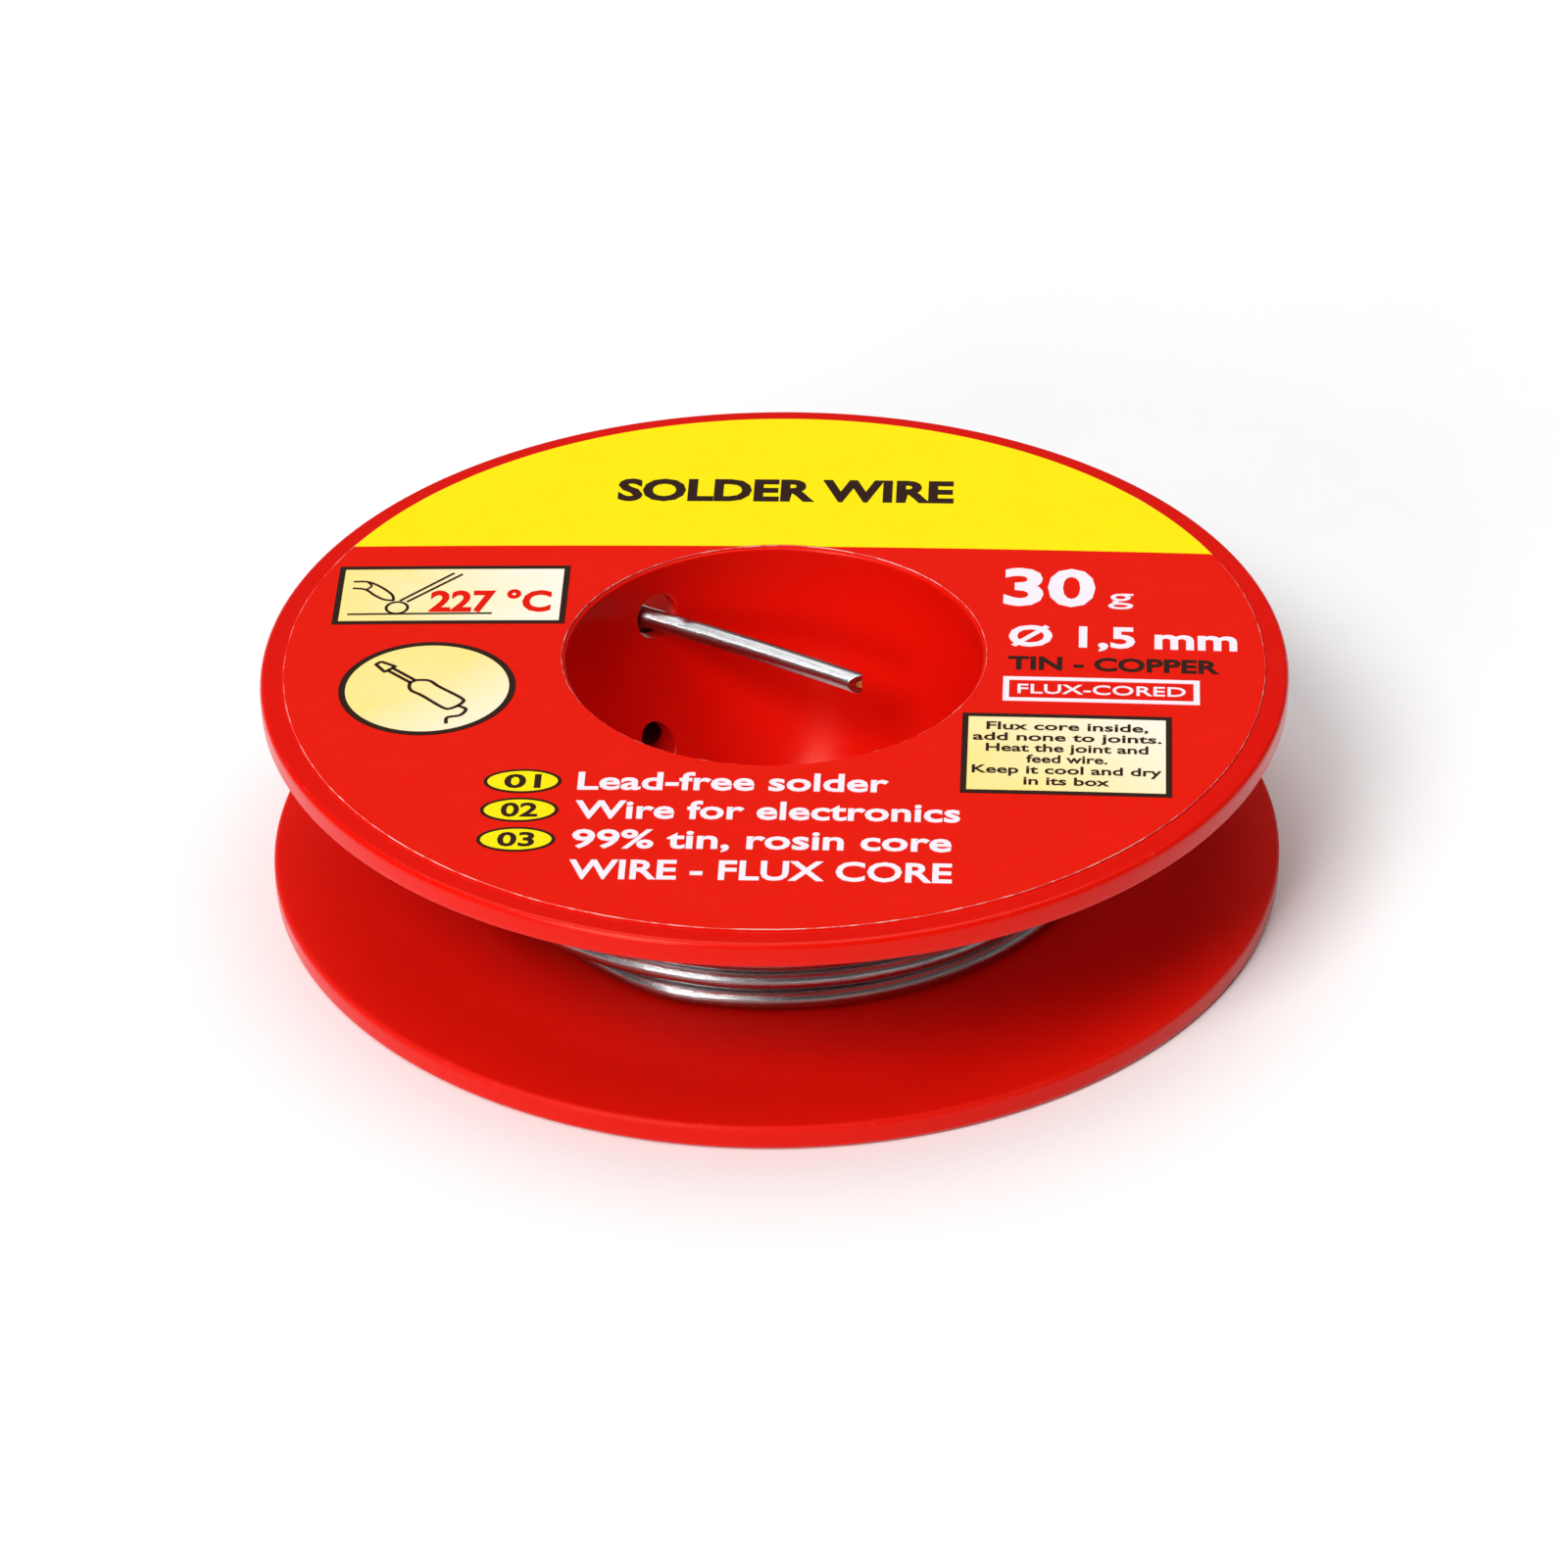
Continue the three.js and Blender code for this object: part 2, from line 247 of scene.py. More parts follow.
def revolve(profile, segments):
    """Surface of revolution: (r, z) at azimuth a goes to (r cos a, r sin a, z)."""
    azimuth = np.linspace(0, 2 * np.pi, segments, endpoint=False)[:, None]
    radius, height = profile[None, :, 0], profile[None, :, 1]
    return np.stack([radius * np.cos(azimuth), radius * np.sin(azimuth), height + 0 * azimuth], -1)


def spline(stops, steps):
    """Catmull-Rom curve through stops, in as many steps from each to the next."""
    stops = np.asarray(stops)
    p = np.concatenate([[2 * stops[0] - stops[1]], stops, [2 * stops[-1] - stops[-2]]])
    t = np.arange(steps).reshape((1, -1) + (1,) * (stops.ndim - 1)) / steps
    a, b, c, d = (p[start:len(p) - 3 + start, None] for start in range(4))
    curve = 0.5 * (2 * b + (c - a) * t + (2 * a - 5 * b + 4 * c - d) * t ** 2
                   + (3 * b - a - 3 * c + d) * t ** 3)
    return np.concatenate([curve.reshape(-1, *stops.shape[1:]), stops[-1:]])


def lengths_along(line):
    """Length from the line's start to each of its points."""
    return np.append(0, np.cumsum(np.linalg.norm(np.diff(line, axis=0), axis=1)))


def points_at(line, at):
    """Points of a line at lengths from its start."""
    length = lengths_along(line)
    return np.stack([np.interp(at, length, line[:, axis]) for axis in range(3)], -1)


def smoothstep(x):
    """0 below 0, 1 above 1, and 3x^2 - 2x^3 between."""
    x = np.clip(x, 0, 1)
    return x * x * (3 - 2 * x)


def wander(x, seed, waves=5, longest=1.0):
    """Seeded sum of sine waves over x, between about -1 and 1."""
    dice = np.random.default_rng(seed)
    lengths = longest / (1 + np.arange(waves) * 1.37)
    phases, sizes = dice.uniform(0, 2 * np.pi, waves), dice.uniform(0.5, 1, waves)
    x = np.asarray(x, float)[..., None]
    return (sizes * np.sin(2 * np.pi * x / lengths + phases)).sum(-1) / sizes.sum()


# ---- Materials ----


class Finish:
    """A material with its shader, and short ways to add and join nodes."""

    def __init__(self, name):
        self.material = bpy.data.materials.new(name)
        self.material.use_nodes = True
        self.tree = self.material.node_tree
        self.shader = self.tree.nodes["Principled BSDF"]
        self.places = self.tree.nodes.new("ShaderNodeTexCoord").outputs["Object"]

    def add(self, kind, settings=None, **inputs):
        """Node with its inputs given by name, or by number as i0, i1 and so on."""
        node = self.tree.nodes.new("ShaderNode" + kind)
        for key, value in (settings or {}).items():
            setattr(node, key, value)
        for key, value in inputs.items():
            numbered = key[0] == "i" and key[1:].isdigit()
            socket = node.inputs[int(key[1:]) if numbered else key]
            if isinstance(value, bpy.types.NodeSocket):
                self.tree.links.new(value, socket)
            else:
                socket.default_value = value
        return node

    def join(self, output, socket):
        self.tree.links.new(output, self.shader.inputs[socket])

    def noise(self, scale, detail=3.0, vector=None, roughness=0.5):
        return self.add("TexNoise", Vector=vector or self.places, Scale=scale, Detail=detail,
                        Roughness=roughness).outputs["Fac"]

    def ramp(self, factor, *stops):
        node = self.add("ValToRGB", Fac=factor)
        elements = node.color_ramp.elements
        while len(elements) < len(stops):
            elements.new(0.5)
        for element, (position, colour) in zip(elements, stops):
            element.position, element.color = position, (*colour, 1)
        return node.outputs["Color"]

    def spread(self, value, low, high, to_low=0.0, to_high=1.0, smooth=False):
        settings = {"interpolation_type": "SMOOTHSTEP" if smooth else "LINEAR"}
        return self.add("MapRange", settings, Value=value, i1=low, i2=high, i3=to_low,
                        i4=to_high).outputs["Result"]

    def maths(self, operation, a, b=0.0):
        return self.add("Math", {"operation": operation}, i0=a, i1=b).outputs[0]

    def mix(self, factor, a, b):
        node = self.add("Mix", {"data_type": "RGBA"}, i0=factor, i6=a, i7=b)
        return node.outputs[2]

    def attribute(self, name, output="Fac"):
        return self.add("Attribute", {"attribute_name": name}).outputs[output]

    def gloss(self, level, tint):
        self.shader.inputs["Specular IOR Level"].default_value = level
        self.shader.inputs["Specular Tint"].default_value = (*tint, 1)

    def bump(self, height, strength, depth, under=None):
        inputs = {"Height": height, "Strength": strength, "Distance": depth}
        if under is not None:
            inputs["Normal"] = under
        return self.add("Bump", **inputs).outputs["Normal"]


def red_plastic(colour, grain):
    """Glossy red moulding: faint mottle, orange-peel waves, dull grained inner faces, worn rims."""
    finish = Finish("red_plastic")
    deep = tuple(c * 0.93 for c in colour)
    scuff = tuple(min(1, c * 1.04 + 0.03) for c in colour)
    mottle = finish.ramp(finish.noise(60, 4), (0.25, deep), (0.75, colour))
    dull = finish.attribute("grained")
    nicks = finish.spread(finish.noise(520, 5, roughness=0.7), 0.56, 0.72, smooth=True)
    wear = finish.maths("MULTIPLY", finish.attribute("worn"), nicks)
    finish.join(finish.mix(finish.maths("MULTIPLY", wear, 0.5), mottle, (*scuff, 1)), "Base Color")
    gloss = finish.spread(finish.noise(230, 3), 0.3, 0.7, 0.2, 0.28)
    matte = finish.spread(finish.noise(500, 3), 0.3, 0.7, 0.46, 0.56)
    rough = finish.add("Mix", {"data_type": "FLOAT"}, i0=dull, i2=gloss, i3=matte).outputs[0]
    finish.join(finish.maths("ADD", rough, finish.maths("MULTIPLY", wear, 0.2)), "Roughness")
    waves = finish.bump(finish.noise(170, 2), 0.25, 0.00006)
    fine = finish.bump(finish.noise(2600, 2), 0.25, grain, waves)
    specks = finish.maths("MULTIPLY", finish.noise(900, 4, roughness=0.65), dull)
    finish.join(finish.bump(specks, 0.3, grain * 2.5, fine), "Normal")
    finish.gloss(0.35, (1, 0.4, 0.3))
    return finish.material


def label_paper(paper, stain):
    """Label stock: white where it is cut through the print, its edge stained and only bare in dashes."""
    finish = Finish("label_paper")
    low = finish.add("SeparateXYZ", Vector=finish.places).outputs["Z"]
    bare = finish.spread(low, (PAPER_TOP - 0.07) * MM, (PAPER_TOP - 0.03) * MM)
    dashes = finish.spread(finish.noise(900, 4), 0.46, 0.56)
    shows = finish.maths("MULTIPLY", bare, finish.spread(dashes, 0, 1, 0.25, 1.0))
    stock = finish.ramp(finish.noise(700, 5), (0.3, tuple(c * 0.9 for c in paper)), (0.7, paper))
    finish.join(finish.mix(shows, (*stain, 1), stock), "Base Color")
    finish.join(finish.spread(finish.noise(800, 4), 0.3, 0.7, 0.5, 0.7), "Roughness")
    finish.join(finish.bump(finish.noise(2500, 5, roughness=0.7), 0.3, 0.00002), "Normal")
    finish.gloss(0.25, (1, 0.5, 0.4))
    return finish.material


def paper_ink(name, colour, far_colour=None):
    """Coated paper under one ink: faint fibres in the height and a slight mottle in the ink."""
    finish = Finish(name)
    darker = tuple(c * 0.97 for c in colour)
    ink = finish.ramp(finish.noise(700, 5, roughness=0.6), (0.35, darker), (0.65, colour))
    if far_colour:
        ink = finish.mix(finish.attribute("fade"), ink, (*far_colour, 1))
    finish.join(ink, "Base Color")
    finish.join(finish.spread(finish.noise(350, 4), 0.3, 0.7, 0.34, 0.44), "Roughness")
    fibres = finish.bump(finish.noise(1500, 5, roughness=0.7), 0.2, 0.00002)
    finish.join(finish.bump(finish.noise(75, 2), 0.12, 0.00004, fibres), "Normal")
    finish.gloss(0.25, (1, 0.45, 0.3))
    return finish.material


def solder_alloy(colour):
    """Drawn wire: dark and light die lines along its length, cloudy patches and small handling dents."""
    finish = Finish("solder_alloy")
    place = finish.attribute("wire_place", "Vector")
    along = finish.add("Mapping", Vector=place, Scale=(0.05, 7, 7)).outputs["Vector"]
    lines = finish.noise(1.0, 5, along, 0.7)
    clouds = finish.noise(260, 4)
    tint = finish.ramp(clouds, (0.3, tuple(c * 0.78 for c in colour)), (0.65, colour))
    streaks = finish.ramp(lines, (0.36, (0.4, 0.4, 0.4)), (0.58, (1, 1, 1)))
    multiply = {"data_type": "RGBA", "blend_type": "MULTIPLY"}
    finish.join(finish.add("Mix", multiply, i0=0.8, i6=tint, i7=streaks).outputs[2], "Base Color")
    lined, cloudy = finish.spread(lines, 0.35, 0.65, 0.26, 0.14), finish.spread(clouds, 0.3, 0.7, 0.08, 0.0)
    finish.join(finish.maths("ADD", lined, cloudy), "Roughness")
    dents = finish.bump(finish.noise(450, 2), 0.35, 0.00006)
    finish.join(finish.bump(lines, 0.6, 0.00004, dents), "Normal")
    finish.shader.inputs["Metallic"].default_value = 1.0
    return finish.material


def flux_rosin():
    """Amber rosin: cloudy from honey to brown, a little glassy."""
    finish = Finish("flux_rosin")
    amber = finish.ramp(finish.noise(1400, 4), (0.3, (0.36, 0.15, 0.03)), (0.7, (0.72, 0.42, 0.12)))
    finish.join(amber, "Base Color")
    finish.join(finish.spread(finish.noise(2200, 3), 0.3, 0.7, 0.25, 0.5), "Roughness")
    finish.join(finish.bump(finish.noise(3000, 3), 0.4, 0.00003), "Normal")
    return finish.material


def studio_floor(colour):
    """Pale matt board with a faint tooth."""
    finish = Finish("studio_floor")
    deep = tuple(c * 0.985 for c in colour)
    finish.join(finish.ramp(finish.noise(40, 4), (0.3, deep), (0.7, colour)), "Base Color")
    finish.join(finish.spread(finish.noise(300, 3), 0.3, 0.7, 0.75, 0.9), "Roughness")
    finish.join(finish.bump(finish.noise(900, 3), 0.1, 0.00005), "Normal")
    return finish.material


# ---- Spool moulding ----


def bore_radius(height):
    """Radius of the bore: widest less taper times the squared depth below its widest."""
    return BORE_RADIUS - BORE_TAPER * (BORE_WIDEST_Z - np.asarray(height, float)) ** 2


def spool_profile():
    """Closed (radius, height) outline of the moulding, run outwards along the underside."""
    low_face, high_face = FLANGE_THICKNESS, SPOOL_HEIGHT - FLANGE_THICKNESS
    low_z = low_face + FACE_DRAFT + BOTTOM_FILLET
    high_z = high_face - FACE_DRAFT - TOP_FILLET
    rim = FLANGE_RADIUS - RIM_ROUNDING

    def flange_rim(height):
        top = height + FLANGE_THICKNESS - RIM_ROUNDING
        low = arc(rim, height + RIM_ROUNDING, RIM_ROUNDING, -90, 0)
        high = arc(rim, top, RIM_ROUNDING, 0, 90)
        return np.concatenate([low, between(low[-1], high[0], 4), high])

    wall_z = np.linspace(low_z, high_z, 14)[1:-1]
    bore_z = np.linspace(BORE_WIDEST_Z, BOTTOM_MOUTH_ROUNDING, 36)[1:-1]
    bottom_mouth = arc(bore_radius(BOTTOM_MOUTH_ROUNDING) + BOTTOM_MOUTH_ROUNDING, BOTTOM_MOUTH_ROUNDING,
                       BOTTOM_MOUTH_ROUNDING, 180, 270)
    low_rim, high_rim = flange_rim(0), flange_rim(high_face)
    low_fillet = arc(bore_radius(low_z) + HUB_WALL + BOTTOM_FILLET, low_z, BOTTOM_FILLET, 270, 180, 10)
    high_fillet = arc(bore_radius(high_z) + HUB_WALL + TOP_FILLET, high_z, TOP_FILLET, 180, 90)
    top_mouth = arc(BORE_RADIUS + TOP_MOUTH_ROUNDING, SPOOL_HEIGHT - TOP_MOUTH_ROUNDING,
                    TOP_MOUTH_ROUNDING, 90, 180)
    return np.concatenate([
        bottom_mouth, between(bottom_mouth[-1], low_rim[0], 12),
        low_rim, between(low_rim[-1], low_fillet[0], 12),
        low_fillet, np.stack([bore_radius(wall_z) + HUB_WALL, wall_z], -1),
        high_fillet, between(high_fillet[-1], high_rim[0], 12),
        high_rim, between(high_rim[-1], top_mouth[0], 12),
        top_mouth, np.stack([bore_radius(bore_z), bore_z], -1),
    ])


def hole_cutter(azimuth, height, size):
    """
    Tube that cuts one wire hole square through the hub. Its rings follow the bore's wall: a
    ring's point lies sqrt(R(z)^2 - x^2) + s along the hole, with x and z - height on a circle
    that widens by a rounded edge near the wall, where s goes from 0 to the edge's size.
    """
    turn = np.linspace(0, 2 * np.pi, 48, endpoint=False)[None, :]
    bend = np.radians(np.linspace(0, 90, 7))
    depth = np.concatenate([[-2.5], HOLE_EDGE * (1 - np.cos(bend)), [HUB_WALL + 3.5]])[:, None]
    flare = np.concatenate([[HOLE_EDGE], HOLE_EDGE * (1 - np.sin(bend)), [0]])[:, None]
    radius = size + flare * (1 + 0.25 * np.sin(3 * turn + height))
    across, rise = radius * np.cos(turn), radius * np.sin(turn)
    reach = np.sqrt(bore_radius(height + rise) ** 2 - across ** 2) + depth
    azimuth = math.radians(azimuth)
    outward = np.array([math.cos(azimuth), math.sin(azimuth), 0])
    side = np.array([-math.sin(azimuth), math.cos(azimuth), 0])
    points = reach[..., None] * outward + across[..., None] * side
    points[..., 2] += height + rise
    return fill_mesh("hole_cutter", points, capped(*reach.shape))


def cut(mesh, *cutters):
    """Mesh less the cutters' meshes, by an exact boolean."""
    body = bpy.data.objects.new("uncut", mesh)
    bpy.context.scene.collection.objects.link(body)
    tools = []
    for cutter in cutters:
        work = bmesh.new()
        work.from_mesh(cutter)
        bmesh.ops.recalc_face_normals(work, faces=work.faces)
        work.to_mesh(cutter)
        work.free()
        tool = bpy.data.objects.new("tool", cutter)
        bpy.context.scene.collection.objects.link(tool)
        modifier = body.modifiers.new("cut", "BOOLEAN")
        modifier.operation, modifier.solver, modifier.object = "DIFFERENCE", "EXACT", tool
        tools.append(tool)
    result = evaluated(body)
    for leftover in (body, *tools):
        bpy.data.objects.remove(leftover)
    return result


def mark_surface(mesh):
    """Adds where the moulding is grained (the faces the wire runs between) and worn (its rims)."""
    x, y, z = mesh_points(mesh).T / MM
    radius = np.hypot(x, y)
    inside = smoothstep((z - 1.2) / 0.5) * smoothstep((SPOOL_HEIGHT - 1.2 - z) / 0.5)
    grained = inside * smoothstep((radius - bore_radius(np.clip(z, 0, BORE_WIDEST_Z)) - 0.5) / 0.5)
    height = np.minimum(np.abs(z - SPOOL_HEIGHT), np.minimum(z, np.abs(z - FLANGE_THICKNESS)))
    height = np.minimum(height, np.abs(z - SPOOL_HEIGHT + FLANGE_THICKNESS))
    edge = smoothstep(1 - height / 0.5) * smoothstep((radius - FLANGE_RADIUS + 0.45) / 0.3)
    for name, values in (("grained", grained), ("worn", edge)):
        mesh.attributes.new(name, "FLOAT", "POINT").data.foreach_set("value", values.astype(np.float32))


def make_moulding(colour, grain, segments):
    profile = spool_profile()
    points = revolve(profile, segments)
    solid = fill_mesh("spool_moulding", points, [lattice(segments, len(profile), True, True)])
    mesh = cut(solid, hole_cutter(*UPPER_HOLE), hole_cutter(*LOWER_HOLE))
    mark_surface(mesh)
    piece = finish_piece("spool_moulding", mesh, red_plastic(colour, grain))
    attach(piece, "spool")
    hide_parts("spool_body")
    return piece


# ---- Label: paper and print, drawn flat as complex numbers x + iy ----


def on_spool(flat):
    """Print place to spool place: w = exp(i turn) * (z + i bow / 2 * z^2)."""
    return np.exp(1j * PRINT_TURN) * (flat + 0.5j * PRINT_BOW * flat * flat)


def print_slab(slab):
    return PAPER_TOP + slab[0], PAPER_TOP + slab[1]


class Ink:
    """Slabs of one ink, gathered into one mesh."""

    def __init__(self, low, high):
        self.low, self.high = low, high
        self.points, self.faces, self.fade, self.count = [], [], [], 0

    def _take(self, flat, heights, faces, fade, on_print=True):
        place = on_spool(flat) if on_print else flat
        points = np.stack([place.real, place.imag, heights + 0 * place.real], -1)
        self.points.append(points.reshape(-1, 3))
        self.faces += [np.asarray(f) + self.count for f in faces]
        number = self.points[-1].shape[0]
        self.fade.append(np.zeros(number) if fade is None else np.clip(fade(flat), 0, 1).ravel())
        self.count += number

    def band(self, inner, outer, closed=True, fade=None, on_print=True):
        """
        Slab between two lines of as many points, run anticlockwise with inner on the left: at
        each point it has the section (inner, low), (outer, low), (outer, high), (inner, high).
        """
        flat = np.stack([inner, outer, outer, inner], -1)
        heights = np.array([self.low, self.low, self.high, self.high])[None, :]
        faces = [lattice(len(inner), 4, True, True)] if closed else capped(len(inner), 4)
        self._take(flat, heights, faces, fade, on_print)

    def patch(self, outline, fade=None):
        """Filled slab of a star-shaped outline, run anticlockwise."""
        self.band(np.full(len(outline), outline.mean()), outline, fade=fade)

    def stroke(self, line, width, closed=False):
        """Ribbon of even width: the line moved by half the width to its left and its right."""
        if closed:
            run = np.roll(line, -1) - np.roll(line, 1)
        else:
            run = np.gradient(line)
        aside = 0.5j * width * run / np.abs(run)
        self.band(line + aside, line - aside, closed)

    def words(self, text, left, baseline, width, height, weight=0.02):
        """Built-in lettering, stretched to a width and cap height, its outline thickened by weight."""
        letters = bpy.data.curves.new("letters", "FONT")
        letters.body, letters.size, letters.resolution_u = text, 1, 3
        letters.offset, letters.extrude = weight, 0.5
        holder = bpy.data.objects.new("letters", letters)
        bpy.context.scene.collection.objects.link(holder)
        mesh = evaluated(holder)
        points = mesh_points(mesh).astype(float)
        mesh.calc_loop_triangles()
        corners = np.empty(len(mesh.loop_triangles) * 3, np.int32)
        mesh.loop_triangles.foreach_get("vertices", corners)
        x, y = points[:, 0], points[:, 1]
        x = left + width * (x - x.min()) / (x.max() - x.min())
        y = baseline + height * (y + weight) / (CAP_HEIGHT + 2 * weight)
        heights = np.where(points[:, 2] > 0, self.high, self.low)
        self._take(x + 1j * y, heights, [corners.reshape(-1, 3)], None)
        bpy.data.objects.remove(holder)
        bpy.data.curves.remove(letters)
        bpy.data.meshes.remove(mesh)

    def piece(self, name, material, sharp_degrees=30):
        fade = {"fade": np.concatenate(self.fade)}
        mesh = fill_mesh(name, np.concatenate(self.points), self.faces, fade)
        weld(mesh)
        piece = finish_piece(name, mesh, material, sharp_degrees)
        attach(piece, "spool")
        return piece


def circle(centre, radius, steps=96, squash=1.0):
    """Ellipse run anticlockwise: centre + radius * (cos a + i squash sin a)."""
    angle = np.linspace(0, 2 * np.pi, steps, endpoint=False)
    return centre + radius * (np.cos(angle) + 1j * squash * np.sin(angle))


def rectangle(left, low, right, high, inset=0.0, steps=24):
    """Rectangle run anticlockwise, each side in even steps, so a fill can fade across it."""
    corners = np.array([left + inset + 1j * (low + inset), right - inset + 1j * (low + inset),
                        right - inset + 1j * (high - inset), left + inset + 1j * (high - inset)])
    share = np.arange(steps)[None, :] / steps
    return (corners[:, None] * (1 - share) + np.roll(corners, -1)[:, None] * share).ravel()


def path(*stops, steps=8):
    """Straight runs between stops, each in even steps."""
    stops = np.array(stops)
    share = np.arange(steps)[None, :] / steps
    return np.append((stops[:-1, None] * (1 - share) + stops[1:, None] * share).ravel(), stops[-1])


def curve(*stops):
    return spline(stops, 10)


def label_ring(inset, unevenness=0.0, steps=720):
    """
    The label's two cut edges, a little uneven, as circles round the spool's axis; print is set
    in from them by an inset that varies by the unevenness.
    """
    share = np.linspace(0, 1, steps, endpoint=False)
    turn = np.exp(2j * np.pi * share)
    ring = []
    for radius, way, seed in ((LABEL_INNER, 1, 3), (LABEL_OUTER - 0.04, -1, 5)):
        cut_edge = 0.5 * (wander(share, seed, 9, 1 / 3) + wander(share, seed + 1, 6, 1 / 41))
        gap = inset + unevenness * wander(share, seed + 20, 9, 1 / 5)
        ring.append((radius + 0.035 * cut_edge + way * gap) * turn)
    return ring


def make_label(paper, red, yellow):
    """White paper ring, the red print over it, and the yellow field across its top."""
    sheet = Ink(SPOOL_HEIGHT, PAPER_TOP)
    sheet.band(*label_ring(0), on_print=False)
    ring = sheet.piece("ring_label", label_paper(paper, red))
    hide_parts("front_label")

    ground = Ink(*print_slab(GROUND_SLAB))
    ground.band(*label_ring(0.022, 0.03), on_print=False)
    ground.piece("red_print", paper_ink("red_ink", red))

    field = Ink(*print_slab(FIELD_SLAB))
    rim, lip, chord = LABEL_OUTER - 0.1, LABEL_INNER + 0.07, FIELD_CHORD
    half = math.acos(chord / rim) + 0.12
    azimuth = np.linspace(np.pi / 2 - half, np.pi / 2 + half, 400)
    flat_azimuth = azimuth - PRINT_TURN
    # where a ray meets the bowed chord: r sin b - bow / 2 * r^2 cos 2b = chord
    a, b = -PRINT_BOW / 2 * np.cos(2 * flat_azimuth), np.sin(flat_azimuth)
    meets = 2 * chord / (b + np.sqrt(b * b + 4 * a * chord))
    inner = np.clip(np.maximum(meets, lip), None, rim)
    keep = inner < rim
    keep = keep | np.roll(keep, 1) | np.roll(keep, -1)
    inner, azimuth = inner[keep], azimuth[keep]
    turn = np.exp(1j * azimuth)
    field.band(inner * turn, rim * turn, closed=False, on_print=False)
    field.piece("yellow_print", paper_ink("yellow_ink", yellow))


